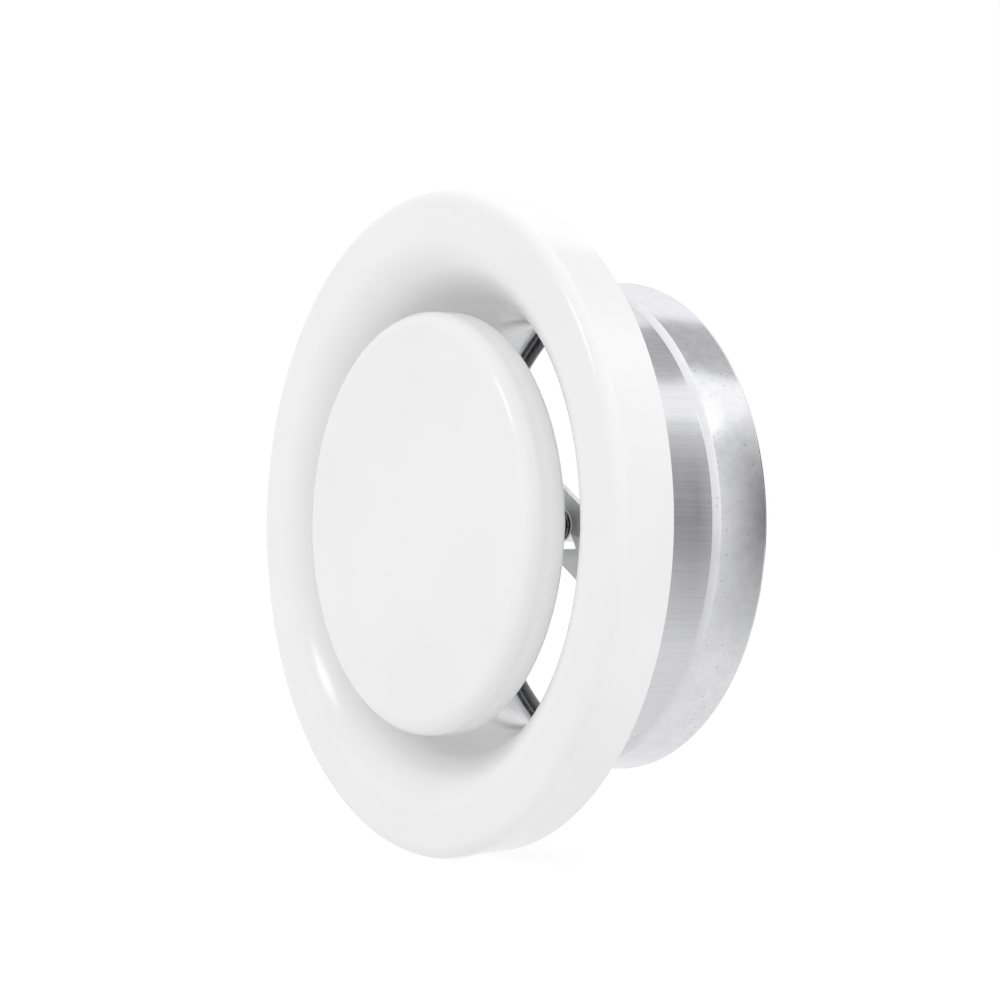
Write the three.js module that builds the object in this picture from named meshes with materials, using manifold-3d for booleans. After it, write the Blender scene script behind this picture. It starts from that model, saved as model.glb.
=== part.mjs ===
// Adjustable metal disc valve for a round ventilation duct (nominal 150 mm).
// Units are millimetres. The duct axis is Y: the room is towards -Y and the duct towards +Y.
// The origin is on the axis, in the plane of the face ring's rear rim, which lies on the ceiling.
// +Z is up for a valve that stands with its axis level.

import * as THREE from 'three';
import { mergeVertices } from 'three/addons/utils/BufferGeometryUtils.js';
import Module from 'manifold-3d';

const wasm = await Module();
wasm.setup();

// ---------------------------------------------------------------- driving dimensions

const GAP = 0.3;                 // clearance between pieces that touch
const SEGMENTS = 56;             // facets round a large turned piece
const SMALL_SEGMENTS = 24;       // facets round a bolt, bush or washer
const HOLE_SEGMENTS = 12;        // facets round a rivet or pin hole
const RIVET_SEGMENTS = 10;       // facets round a rivet or pin

// skirt, face ring and throat: a sheet that runs on as skirt, front annulus, bell mouth and neck
const RING_SHEET = 1.0;
const RING_RADIUS = 96.5;
const RIM_RADIUS = 95.4;         // the skirt draws in a little towards the ceiling
const RIM_STRAIGHT = 1.5;        // and ends in a short straight rim
const RING_DEPTH = 19.6;         // from the ceiling to the front of the annulus
const RING_CORNER = 3.6;
const SKIRT_SEAM = 0.6;          // between the skirt and the face ring's rounded corner
const MOUTH_RADIUS = 84.0;       // where the annulus turns into the bell mouth
const MOUTH_DISH = 1.0;
const MOUTH_FRONT_PULL = [76.2, 0.2];   // how the bell mouth leaves the annulus: radius, depth
const MOUTH_NECK_PULL = [63.2, -9.9];   // and how it runs into the neck: radius, y
const NECK_RADIUS = 58.8;        // inside, at the rear end
const NECK_END = 20.2;
const THROAT_START = 1 / 3;      // share of the bell mouth's curve where the throat meets the face ring
const THROAT_SEAM = 0.006;       // half the seam between them, as a share of the same curve

// foam rings
const SEAL_THICKNESS = 3.4;
const SEAL_FRONT = -12.0;
const SEAL_REAR = -4.0;
const SEAL_SLANT = 2.8;
const GASKET_THICKNESS = 6.0;
const GASKET_DEPTH = 6.7;
const GASKET_LEAN = 0.3;

// duct collar
const COLLAR_SHEET = 1.0;
const COLLAR_START = -8.0;
const COLLAR_FRONT_RADIUS = 71.0;
const STEP_START = 31.5;
const STEP_END = 33.5;
const COLLAR_REAR_RADIUS = 72.5;
const COLLAR_END_RADIUS = 73.5;
const COLLAR_END = 49.9;
const COLLAR_CORNER = 1.8;
const COLLAR_MOUTH_RADIUS = 68.5;

// disc
const DISC_SHEET = 1.0;
const DISC_RADIUS = 61.3;
const DISC_FRONT = -23.2;
const DISC_ROUND = 5.0;
const DISC_BACK = -10.6;
const DISC_HEM_RADIUS = 57.9;    // where the turned-in hem at the back ends
const DISC_HEM_ROUND = 2.0;
const BACKPLATE_SHEET = 1.2;
const BACKPLATE_RADIUS = 59.6;
const BEAD_RADIUS = 40.0;        // pressed ring that stiffens the backplate
const BEAD_TOP = 3.0;            // half its width at the top
const BEAD_FOOT = 6.0;           // half its width at the plate
const BEAD_HEIGHT = 2.4;

// M8 spindle and what is on it
const SPINDLE_RADIUS = 3.9;
const THREAD_BORE = 4.25;
const SPINDLE_FRONT = -20.9;
const SPINDLE_END = 49.3;
const SPINDLE_CHAMFER = 0.8;
const NUT_WIDTH = 13;
const THIN_NUT = 4.0;
const FULL_NUT = 6.5;
const LOCK_NUT_FRONT = 20.3;
const WASHER_RADIUS = 8.0;
const WASHER_SHEET = 1.2;
const HUB_WASHER_RADIUS = 15.0;
const STOP_WASHER_FRONT = 45.0;
const STOP_PIN_RADIUS = 0.8;
const STOP_PIN_LENGTH = 13.0;
const STOP_PIN_CHAMFER = 0.2;

// bridge across the neck, turned about the axis by BRIDGE_ANGLE
const BRIDGE_SHEET = 1.5;
const BRIDGE_WIDTH = 20.0;
const BRIDGE_FRONT = 29.9;       // front face of the strap's middle
const BRIDGE_ANGLE = THREE.MathUtils.degToRad(-30);
const BRIDGE_BEND = 3.0;
const BUSH_RADIUS = 4.95;
const BUSH_LENGTH = 6.0;
const WINDOW_RADIUS = BUSH_RADIUS + GAP;
// the window's pointed part, below the bush, as seen from the front: x to the right, z up
const WINDOW_CORNERS = [[-4.6, -2.4], [4.6, -2.4], [7.6, -7.0], [-4.0, -7.4]];

// the bridge and the clips have feet on the outside of the neck
const FOOT_START = 5.0;
const FOOT_END = 19.7;

// spring clips that hold the neck in the collar
const CLIP_SHEET = 0.8;
const CLIP_WIDTH = 12.0;
const CLIP_ANGLES = [60, 180, 300].map(THREE.MathUtils.degToRad);
const CLIP_BEND = 18.0;
const CLIP_BEND_ROUND = 2.0;
const CLIP_TIP_ROUND = 0.6;
const CLIP_HOOK = 1.2;           // from the collar's step to the hook's corner
const CLIP_TIP = 4.0;            // length of the turned-in tip, inwards and rearwards

// rivets
const RIVET_RADIUS = 1.6;
const RIVET_HEAD_RADIUS = 3.0;
const RIVET_HEAD = 1.0;
const RIVET_CROWN = 0.6;         // share of the head's height and radius that is rounded off
const RIVET_HOLE_RADIUS = 1.9;
const BRIDGE_RIVET_PLACES = [10.0, 17.0];
const CLIP_RIVET_PLACE = 9.5;
const DRILL_LENGTH = 12.0;

// ---------------------------------------------------------------- solids

function toSolid(geometry) {
  const bare = geometry.index ? geometry.toNonIndexed() : geometry.clone();
  bare.deleteAttribute('normal');
  bare.deleteAttribute('uv');
  const merged = mergeVertices(bare, 1e-4);
  const mesh = new wasm.Mesh({
    numProp: 3,
    vertProperties: new Float32Array(merged.attributes.position.array),
    triVerts: new Uint32Array(merged.index.array),
  });
  return new wasm.Manifold(mesh);
}

function toGeometry(solid) {
  const mesh = solid.getMesh();
  const geometry = new THREE.BufferGeometry();
  geometry.setAttribute('position', new THREE.BufferAttribute(new Float32Array(mesh.vertProperties), 3));
  geometry.setIndex(new THREE.BufferAttribute(new Uint32Array(mesh.triVerts), 1));
  geometry.computeVertexNormals();
  return geometry;
}

function cut(geometry, cutters) {
  let solid = toSolid(geometry);
  for (const cutter of cutters) {
    solid = solid.subtract(toSolid(cutter));
  }
  return toGeometry(solid);
}

// ---------------------------------------------------------------- outlines

// Points of a quarter or shorter arc round [cx, cy], with both ends.
function arc(cx, cy, radius, from, to, steps) {
  return Array.from({ length: steps + 1 }, (_, i) => {
    const angle = from + ((to - from) * i) / steps;
    return [cx + radius * Math.cos(angle), cy + radius * Math.sin(angle)];
  });
}

// The same path moved sideways by distance, to the right of its direction, with mitred corners.
function offsetPath(path, distance) {
  return path.map((point, i) => {
    const before = path[Math.max(i - 1, 0)];
    const after = path[Math.min(i + 1, path.length - 1)];
    const a = new THREE.Vector2(point[0] - before[0], point[1] - before[1]).normalize();
    const b = new THREE.Vector2(after[0] - point[0], after[1] - point[1]).normalize();
    const along = a.clone().add(b).normalize();
    const mitre = distance / Math.max(along.dot(a), along.dot(b));
    return [point[0] + along.y * mitre, point[1] - along.x * mitre];
  });
}

// Closed outline of a sheet that has path as its left side.
function sheetOutline(path, thickness) {
  return [...path, ...offsetPath(path, thickness).reverse()];
}

// Path with each corner rounded off, about as an arc of the given radius would.
function roundCorners(path, radius, steps = 4) {
  const rounded = [path[0]];
  for (let i = 1; i < path.length - 1; i++) {
    const corner = new THREE.Vector2(...path[i]);
    const toStart = new THREE.Vector2(...path[i - 1]).sub(corner).normalize();
    const toEnd = new THREE.Vector2(...path[i + 1]).sub(corner).normalize();
    const half = Math.acos(THREE.MathUtils.clamp(toStart.dot(toEnd), -1, 1)) / 2;
    const reach = radius / Math.tan(half);
    const curve = new THREE.QuadraticBezierCurve(
      corner.clone().addScaledVector(toStart, reach),
      corner,
      corner.clone().addScaledVector(toEnd, reach),
    );
    rounded.push(...curve.getPoints(steps).map((p) => [p.x, p.y]));
  }
  rounded.push(path[path.length - 1]);
  return rounded;
}

// ---------------------------------------------------------------- turned and bent shapes

// Turns a closed outline of [radius, y] points about Y.
function turned(outline, segments = SEGMENTS) {
  let area = 0;
  outline.forEach(([r, y], i) => {
    const [nextR, nextY] = outline[(i + 1) % outline.length];
    area += r * nextY - nextR * y;
  });
  const ordered = area > 0 ? [...outline] : [...outline].reverse();
  const points = ordered.map(([r, y]) => new THREE.Vector2(r, y));
  points.push(points[0].clone());
  return new THREE.LatheGeometry(points, segments);
}

// Turns an outline that starts and ends on the axis.
function turnedSolid(outline, segments = SEGMENTS) {
  const rising = outline[outline.length - 1][1] > outline[0][1];
  const ordered = rising ? outline : [...outline].reverse();
  return new THREE.LatheGeometry(ordered.map(([r, y]) => new THREE.Vector2(r, y)), segments);
}

function turnedRing(inner, outer, low, high, segments = SMALL_SEGMENTS) {
  return turned([[inner, low], [outer, low], [outer, high], [inner, high]], segments);
}

// Bends a strip of the given width along a [radial, y] path. It is centred on the plane z = 0.
function bentStrip(path, thickness, width) {
  const shape = new THREE.Shape(sheetOutline(path, thickness).map(([r, y]) => new THREE.Vector2(r, y)));
  const strip = new THREE.ExtrudeGeometry(shape, { depth: width, bevelEnabled: false });
  return strip.translate(0, 0, -width / 2);
}

// Hexagon nut on the axis, from y = low upwards.
function hexNut(low, height) {
  const corner = NUT_WIDTH / 2 / Math.cos(Math.PI / 6);
  const hexagon = new THREE.CylinderGeometry(corner, corner, height, 6);
  hexagon.translate(0, low + height / 2, 0);
  const bore = new THREE.CylinderGeometry(THREAD_BORE, THREAD_BORE, height * 2, SMALL_SEGMENTS);
  bore.translate(0, low + height / 2, 0);
  return cut(hexagon, [bore]);
}

// ---------------------------------------------------------------- the sheet of the face ring

const bellMouth = new THREE.CubicBezierCurve(
  new THREE.Vector2(MOUTH_RADIUS, -RING_DEPTH + MOUTH_DISH),
  new THREE.Vector2(MOUTH_FRONT_PULL[0], -RING_DEPTH + MOUTH_DISH + MOUTH_FRONT_PULL[1]),
  new THREE.Vector2(...MOUTH_NECK_PULL),
  new THREE.Vector2(NECK_RADIUS, NECK_END),
);

function bellMouthPoints(from, to, steps) {
  return Array.from({ length: steps + 1 }, (_, i) => {
    return bellMouth.getPoint(from + ((to - from) * i) / steps).toArray();
  });
}

// Visible side of the skirt's sheet, from the rim to just short of the rounded corner.
const cornerStart = new THREE.Vector2(RING_RADIUS, -RING_DEPTH + RING_CORNER);
const rimTop = new THREE.Vector2(RIM_RADIUS, -RIM_STRAIGHT);
const skirtEnd = cornerStart.clone().lerp(rimTop, SKIRT_SEAM / cornerStart.distanceTo(rimTop));
const skirtPath = [[RIM_RADIUS, 0], rimTop.toArray(), skirtEnd.toArray()];

// Visible side of the face ring's sheet, from that corner over the front into the bell mouth.
const ringPath = [
  ...arc(RING_RADIUS - RING_CORNER, -RING_DEPTH + RING_CORNER, RING_CORNER, 0, -Math.PI / 2, 4),
  ...bellMouthPoints(0, THROAT_START - THROAT_SEAM, 3),
];

// Visible side of the throat's sheet, which goes on from there to the neck's rear end.
const throatPath = bellMouthPoints(THROAT_START + THROAT_SEAM, 1, 6);
const throatBack = offsetPath(throatPath, RING_SHEET);

// Radius of the neck's outer surface at height y.
function neckRadius(y) {
  const i = throatBack.findLastIndex((point) => point[1] <= y);
  const [[r0, y0], [r1, y1]] = [throatBack[i], throatBack[i + 1]];
  return r0 + ((r1 - r0) * (y - y0)) / (y1 - y0);
}

// A foot is a straight strip that lies on the neck from FOOT_START to FOOT_END. The neck is
// slightly hollow between those two heights, so the foot touches it only there.
const footSlope = (neckRadius(FOOT_START) - neckRadius(FOOT_END)) / (FOOT_END - FOOT_START);
const FOOT_LEAN = Math.atan(footSlope);

// Radius of a foot's inner face at height y.
function footRadius(y) {
  return neckRadius(FOOT_START) + GAP / Math.cos(FOOT_LEAN) - (y - FOOT_START) * footSlope;
}

// Puts a shape made along +X at the origin onto a foot's inner face at height y and an angle.
function onNeck(geometry, y, angle) {
  const placed = geometry.clone();
  placed.rotateZ(FOOT_LEAN);
  placed.translate(footRadius(y), y, 0);
  return placed.rotateY(-angle);
}

// A round hole through the neck and what is fastened on it.
function rivetHole(y, angle) {
  const drill = new THREE.CylinderGeometry(RIVET_HOLE_RADIUS, RIVET_HOLE_RADIUS, DRILL_LENGTH, HOLE_SEGMENTS);
  return onNeck(drill.rotateZ(Math.PI / 2), y, angle);
}

const bridgeFeet = [BRIDGE_ANGLE, BRIDGE_ANGLE + Math.PI];
const bridgeRivets = bridgeFeet.flatMap((angle) => BRIDGE_RIVET_PLACES.map((y) => ({ y, angle })));
const clipRivets = CLIP_ANGLES.map((angle) => ({ y: CLIP_RIVET_PLACE, angle }));

// The skirt, the face ring and the throat meet in two narrow circular seams, across which the sheet
// runs on in the same line.
function ringSkirt() {
  return turned(sheetOutline(skirtPath, RING_SHEET));
}

function faceRing() {
  return turned(sheetOutline(ringPath, RING_SHEET));
}

function throat() {
  const drills = [...bridgeRivets, ...clipRivets].map(({ y, angle }) => rivetHole(y, angle));
  return cut(turned(sheetOutline(throatPath, RING_SHEET)), drills);
}

// ---------------------------------------------------------------- collar and seals

function ductCollar() {
  const outside = [
    [COLLAR_FRONT_RADIUS, COLLAR_START],
    [COLLAR_FRONT_RADIUS, STEP_START],
    [COLLAR_REAR_RADIUS, STEP_END],
    ...arc(COLLAR_END_RADIUS - COLLAR_CORNER, COLLAR_END - COLLAR_CORNER, COLLAR_CORNER, 0, Math.PI / 2, 3),
    [COLLAR_MOUTH_RADIUS, COLLAR_END],
  ];
  return turned(sheetOutline(outside, -COLLAR_SHEET));
}

// Foam ring with a slanted front that lies on the back of the bell mouth.
function collarSeal() {
  const inner = COLLAR_FRONT_RADIUS + GAP;
  const outer = inner + SEAL_THICKNESS;
  const slant = [[inner, SEAL_FRONT + SEAL_SLANT], [outer, SEAL_FRONT]];
  return turned([...slant, [outer, SEAL_REAR], [inner, SEAL_REAR]]);
}

// Foam ring inside the skirt, flush with its rim but for the gap.
function rimGasket() {
  const outer = RIM_RADIUS - RING_SHEET - GAP;
  const inner = outer - GASKET_THICKNESS;
  const front = -GAP - GASKET_DEPTH;
  return turned([[inner, -GAP], [outer, -GAP], [outer + GASKET_LEAN, front], [inner, front]]);
}

// ---------------------------------------------------------------- disc

const backplateFront = DISC_BACK - DISC_SHEET - GAP - BACKPLATE_SHEET;
const backplateRear = DISC_BACK - DISC_SHEET - GAP;

// Flat face, rounded edge, short wall and a hem that turns in at the back.
function discShell() {
  const edge = [DISC_RADIUS - DISC_ROUND, DISC_FRONT + DISC_ROUND];
  const hem = [DISC_RADIUS - DISC_HEM_ROUND, DISC_BACK - DISC_HEM_ROUND];
  return turnedSolid([
    [0, DISC_FRONT],
    ...arc(...edge, DISC_ROUND, -Math.PI / 2, 0, 5),
    ...arc(...hem, DISC_HEM_ROUND, 0, Math.PI / 2, 3),
    [DISC_HEM_RADIUS, DISC_BACK],
    [DISC_HEM_RADIUS, DISC_BACK - DISC_SHEET],
    ...arc(...hem, DISC_HEM_ROUND - DISC_SHEET, Math.PI / 2, 0, 2),
    ...arc(...edge, DISC_ROUND - DISC_SHEET, 0, -Math.PI / 2, 4),
    [0, DISC_FRONT + DISC_SHEET],
  ]);
}

// Plate with a pressed stiffening ring, its bead.
function discBackplate() {
  const rear = [
    [THREAD_BORE, backplateRear],
    [BEAD_RADIUS - BEAD_FOOT, backplateRear],
    [BEAD_RADIUS - BEAD_TOP, backplateRear + BEAD_HEIGHT],
    [BEAD_RADIUS + BEAD_TOP, backplateRear + BEAD_HEIGHT],
    [BEAD_RADIUS + BEAD_FOOT, backplateRear],
    [BACKPLATE_RADIUS, backplateRear],
  ];
  return turned(sheetOutline(rear, BACKPLATE_SHEET));
}

// ---------------------------------------------------------------- spindle and fasteners

const stopPinPlace = STOP_WASHER_FRONT + WASHER_SHEET + GAP + STOP_PIN_RADIUS;

function spindle() {
  const rod = turnedSolid([
    [0, SPINDLE_FRONT],
    [SPINDLE_RADIUS - SPINDLE_CHAMFER, SPINDLE_FRONT],
    [SPINDLE_RADIUS, SPINDLE_FRONT + SPINDLE_CHAMFER],
    [SPINDLE_RADIUS, SPINDLE_END - SPINDLE_CHAMFER],
    [SPINDLE_RADIUS - SPINDLE_CHAMFER, SPINDLE_END],
    [0, SPINDLE_END],
  ], SMALL_SEGMENTS);
  const holeRadius = STOP_PIN_RADIUS + GAP;
  const drill = new THREE.CylinderGeometry(holeRadius, holeRadius, DRILL_LENGTH, HOLE_SEGMENTS);
  drill.rotateX(Math.PI / 2).translate(0, stopPinPlace, 0);
  return cut(rod, [drill]);
}

function stopPin() {
  const half = STOP_PIN_LENGTH / 2;
  const pin = turnedSolid([
    [0, -half],
    [STOP_PIN_RADIUS - STOP_PIN_CHAMFER, -half],
    [STOP_PIN_RADIUS, -half + STOP_PIN_CHAMFER],
    [STOP_PIN_RADIUS, half - STOP_PIN_CHAMFER],
    [STOP_PIN_RADIUS - STOP_PIN_CHAMFER, half],
    [0, half],
  ], RIVET_SEGMENTS);
  return pin.rotateX(Math.PI / 2).translate(0, stopPinPlace, 0);
}

function washer(front, radius) {
  return turnedRing(THREAD_BORE, radius, front, front + WASHER_SHEET);
}

function threadBush() {
  return turnedRing(THREAD_BORE, BUSH_RADIUS, BRIDGE_FRONT, BRIDGE_FRONT + BUSH_LENGTH);
}

// ---------------------------------------------------------------- bridge

// The hole in the strap: round at the bush, pointed below it. It is cut before the strap is turned,
// so its corners are turned back by the strap's own angle.
function bridgeWindow() {
  const depth = 4 * BRIDGE_SHEET;
  const corners = WINDOW_CORNERS.map(([x, z]) => new THREE.Vector2(x, z));
  const pointed = new THREE.ExtrudeGeometry(new THREE.Shape(corners), { depth, bevelEnabled: false });
  pointed.translate(0, 0, -depth / 2).rotateX(Math.PI / 2).rotateY(BRIDGE_ANGLE);
  const round = new THREE.CylinderGeometry(WINDOW_RADIUS, WINDOW_RADIUS, depth, SMALL_SEGMENTS);
  return [pointed, round].map((part) => part.translate(0, BRIDGE_FRONT + BRIDGE_SHEET / 2, 0));
}

function bridgeStrap() {
  const corner = [footRadius(BRIDGE_FRONT), BRIDGE_FRONT];
  const half = roundCorners([[0, BRIDGE_FRONT], corner, [footRadius(FOOT_START), FOOT_START]], BRIDGE_BEND);
  const mirrored = half.slice(1).reverse().map(([r, y]) => [-r, y]);
  const strap = bentStrip([...mirrored, ...half.slice(1)], -BRIDGE_SHEET, BRIDGE_WIDTH);
  const drills = BRIDGE_RIVET_PLACES.flatMap((y) => [rivetHole(y, 0), rivetHole(y, Math.PI)]);
  return cut(strap, [...bridgeWindow(), ...drills]);
}

// ---------------------------------------------------------------- clips and rivets

// How far from the axis a flat strip may lie inside the collar where its outer radius is as given.
function insideCollar(radius) {
  const facet = (radius - COLLAR_SHEET) * Math.cos(Math.PI / SEGMENTS);
  return Math.sqrt(facet ** 2 - (CLIP_WIDTH / 2) ** 2) - GAP;
}

// The clip lies on the neck, slants out to the collar's wall and hooks behind its step.
function springClip() {
  const wall = insideCollar(COLLAR_FRONT_RADIUS);
  const hook = insideCollar(COLLAR_REAR_RADIUS);
  const path = [
    [footRadius(FOOT_START), FOOT_START],
    [footRadius(CLIP_BEND), CLIP_BEND],
    [wall - CLIP_SHEET - GAP, STEP_START - CLIP_HOOK],
    [hook - CLIP_SHEET, STEP_END + CLIP_HOOK],
    [hook - CLIP_TIP, STEP_END + CLIP_HOOK + CLIP_TIP],
  ];
  const foot = roundCorners(path.slice(0, 3), CLIP_BEND_ROUND);
  const tip = roundCorners(path.slice(2), CLIP_TIP_ROUND);
  return cut(bentStrip([...foot, ...tip.slice(1)], CLIP_SHEET, CLIP_WIDTH), [rivetHole(CLIP_RIVET_PLACE, 0)]);
}

// Round-head rivet along X through the neck and a foot of the given sheet, whose inner face is x = 0.
// The head inside the throat keeps clear of the neck's hollow side.
function rivet(footSheet) {
  const inner = -RING_SHEET - 3 * GAP;
  const outer = footSheet + GAP;
  const rise = RIVET_HEAD * RIVET_CROWN;
  const crown = RIVET_HEAD_RADIUS * RIVET_CROWN;
  const shape = turnedSolid([
    [0, inner - RIVET_HEAD],
    [crown, inner - RIVET_HEAD],
    [RIVET_HEAD_RADIUS, inner - RIVET_HEAD + rise],
    [RIVET_HEAD_RADIUS, inner],
    [RIVET_RADIUS, inner],
    [RIVET_RADIUS, outer],
    [RIVET_HEAD_RADIUS, outer],
    [RIVET_HEAD_RADIUS, outer + RIVET_HEAD - rise],
    [crown, outer + RIVET_HEAD],
    [0, outer + RIVET_HEAD],
  ], RIVET_SEGMENTS);
  return shape.rotateZ(-Math.PI / 2);
}

// ---------------------------------------------------------------- materials

function material(colour, roughness, metalness) {
  return new THREE.MeshStandardMaterial({ color: colour, roughness, metalness });
}

const whitePaint = () => material(0xf2f2f2, 0.25, 0.0);
const aluminium = () => material(0xc6c6cc, 0.35, 1.0);
const zincSteel = () => material(0xb4b4b6, 0.4, 1.0);
const springSteel = () => material(0x8c8c90, 0.35, 1.0);
const threadSteel = () => material(0x77777b, 0.3, 1.0);
const foam = () => material(0x3a3a3c, 0.95, 0.0);

// ---------------------------------------------------------------- assembly

const valve = new THREE.Group();

function add(name, geometry, surface, parent = valve) {
  const mesh = new THREE.Mesh(geometry, surface);
  mesh.name = name;
  parent.add(mesh);
  return mesh;
}

// a group turned about the duct axis, for pieces made on the +X side
function turnedGroup(angle) {
  const group = new THREE.Group();
  group.rotation.y = -angle;
  valve.add(group);
  return group;
}

// a group on the neck's outer surface, for pieces made along +X
function neckGroup({ y, angle }) {
  const place = new THREE.Group();
  place.position.set(footRadius(y), y, 0);
  place.rotation.z = FOOT_LEAN;
  turnedGroup(angle).add(place);
  return place;
}

add('ring_skirt', ringSkirt(), whitePaint());
add('face_ring', faceRing(), whitePaint());
add('throat', throat(), whitePaint());
add('rim_gasket', rimGasket(), foam());
add('duct_collar', ductCollar(), aluminium());
add('collar_seal', collarSeal(), foam());

add('disc_shell', discShell(), whitePaint());
add('disc_backplate', discBackplate(), whitePaint());
add('spindle', spindle(), threadSteel());
add('hub_nut_front', hexNut(backplateFront - GAP - THIN_NUT, THIN_NUT), zincSteel());
add('hub_washer', washer(backplateRear + GAP, HUB_WASHER_RADIUS), zincSteel());
add('hub_nut_rear', hexNut(backplateRear + 2 * GAP + WASHER_SHEET, FULL_NUT), zincSteel());
add('stop_washer', washer(STOP_WASHER_FRONT, WASHER_RADIUS), zincSteel());
add('stop_pin', stopPin(), springSteel());

add('lock_nut', hexNut(LOCK_NUT_FRONT, THIN_NUT), zincSteel());
add('lock_washer', washer(LOCK_NUT_FRONT + THIN_NUT + GAP, WASHER_RADIUS), zincSteel());

add('bridge_strap', bridgeStrap(), zincSteel(), turnedGroup(BRIDGE_ANGLE));
add('thread_bush', threadBush(), zincSteel());
bridgeRivets.forEach((place, i) => {
  add(`bridge_rivet_${i + 1}`, rivet(BRIDGE_SHEET), zincSteel(), neckGroup(place));
});

CLIP_ANGLES.forEach((angle, i) => {
  add(`spring_clip_${i + 1}`, springClip(), springSteel(), turnedGroup(angle));
});
clipRivets.forEach((place, i) => {
  add(`clip_rivet_${i + 1}`, rivet(CLIP_SHEET), zincSteel(), neckGroup(place));
});

export default valve;
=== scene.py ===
"""Looks for a round metal disc valve: white face ring and disc, aluminium duct collar.

The duct axis is Y, the room is towards -Y and the duct towards +Y. Lengths are in metres.
"""

import math

import bmesh
import bpy
from mathutils import Matrix, Quaternion, Vector, noise


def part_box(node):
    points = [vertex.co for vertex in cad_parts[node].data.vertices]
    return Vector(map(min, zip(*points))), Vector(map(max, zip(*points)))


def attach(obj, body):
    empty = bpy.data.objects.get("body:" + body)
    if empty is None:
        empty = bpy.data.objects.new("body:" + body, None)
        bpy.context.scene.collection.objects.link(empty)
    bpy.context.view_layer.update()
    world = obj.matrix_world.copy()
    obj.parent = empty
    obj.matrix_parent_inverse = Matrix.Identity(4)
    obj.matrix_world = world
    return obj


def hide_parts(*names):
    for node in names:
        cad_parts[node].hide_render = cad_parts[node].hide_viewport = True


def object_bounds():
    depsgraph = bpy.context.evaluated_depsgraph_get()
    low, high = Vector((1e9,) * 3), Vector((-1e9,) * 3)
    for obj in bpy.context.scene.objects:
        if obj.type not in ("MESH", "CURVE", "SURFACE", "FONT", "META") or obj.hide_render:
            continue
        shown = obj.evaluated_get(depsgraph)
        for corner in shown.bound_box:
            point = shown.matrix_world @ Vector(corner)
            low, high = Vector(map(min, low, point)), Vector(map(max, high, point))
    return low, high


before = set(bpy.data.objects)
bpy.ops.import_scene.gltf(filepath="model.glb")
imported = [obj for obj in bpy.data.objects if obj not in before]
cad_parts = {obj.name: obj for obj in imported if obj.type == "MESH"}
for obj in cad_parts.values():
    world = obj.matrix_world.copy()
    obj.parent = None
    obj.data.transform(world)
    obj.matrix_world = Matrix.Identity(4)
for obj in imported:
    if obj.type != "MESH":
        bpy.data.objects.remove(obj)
cad_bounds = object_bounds()

MM = 0.001

# ------------------------------------------------------------------ sizes taken from the frame


def low(node):
    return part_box(node)[0]


def high(node):
    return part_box(node)[1]


def middle(node):
    return (low(node) + high(node)) / 2


RING_RADIUS = high("face_ring").x
RING_FRONT = low("face_ring").y
NECK_END = high("throat").y
COLLAR_START = low("duct_collar").y
COLLAR_END = high("duct_collar").y
COLLAR_END_RADIUS = high("duct_collar").x
DISC_RADIUS = high("disc_shell").x
DISC_FRONT = low("disc_shell").y
DISC_BACK = high("disc_shell").y
SPINDLE_RADIUS = high("spindle").x

# ------------------------------------------------------------------ sizes of the looks

GAP = 0.3 * MM
FINE = 256  # facets round a large turned piece
MEDIUM = 64  # facets round a nut, washer or bush

RING_SHEET = 1.0 * MM
RIM_RADIUS = 95.4 * MM
RIM_STRAIGHT = 1.5 * MM
RING_CORNER = 3.6 * MM
ANNULUS_INNER = 83.0 * MM
MOUTH_PULL = 76.6 * MM
NECK_PULL = (63.1 * MM, -9.6 * MM)
NECK_RADIUS = 58.8 * MM
THROAT_DEPTHS = (-13.0 * MM, 0.0)  # over these the white is painted lighter towards the neck: painted light against the throat's shade
THROAT_RADII = (74.0 * MM, 66.0 * MM)

GASKET_INNER = 88.1 * MM
GASKET_ROUND = 0.8 * MM
SEAL_SLANT = 2.8 * MM
SEAL_ROUND = 0.6 * MM
FOAM_GRAIN = 3.0 * MM

COLLAR_SHEET = 1.0 * MM
COLLAR_FRONT_RADIUS = 71.0 * MM
COLLAR_REAR_RADIUS = 72.5 * MM
STEP_START = 31.8 * MM
STEP_END = 33.5 * MM
STEP_ROUND = 0.5 * MM
COLLAR_CORNER = 1.8 * MM
COLLAR_MOUTH_RADIUS = 68.5 * MM
COLLAR_WAVE = 0.05 * MM
COLLAR_WAVES = 3.1  # how often it waves round the axis, roughly
COLLAR_WAVE_LENGTH = 18.0 * MM  # and along it
DARK_REFLECTION_FADE = (3.6 * MM, 2.9 * MM)  # before the rear end, where the painted dark reflection inside fades in

DISC_SHEET = 1.0 * MM
DISC_ROUND = 5.0 * MM
DISC_HEM = 3.4 * MM
DISC_HEM_ROUND = 2.0 * MM
WALL_DEPTHS = (-21.0 * MM, -16.0 * MM)  # over these the white is painted lighter towards the disc's wall: painted light against the shade there
BACKPLATE_SHEET = 1.2 * MM
BEAD_RADIUS = 40.0 * MM
BEAD_WIDTH = 12.0 * MM
BEAD_HEIGHT = 2.4 * MM
BEAD_ROUND = 2.5 * MM

THREAD_PITCH = 1.25 * MM
THREAD_DEPTH = 0.6134 * THREAD_PITCH  # of an ISO metric thread
CREST_HALF = 1 / 16  # half the flat crest, as a share of the pitch
ROOT_START = 3 / 8  # where the flank ends, from the middle of the crest
THREAD_BORE = 4.25 * MM
THREAD_CHAMFER = 0.8 * MM
NUT_WIDTH = 13.0 * MM
NUT_LIP = 0.35 * MM
WASHER_ROUND = 0.25 * MM
BUSH_CHAMFER = 0.5 * MM
PIN_WALL = 0.3 * MM
PIN_CHAMFER = 0.5 * MM

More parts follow.
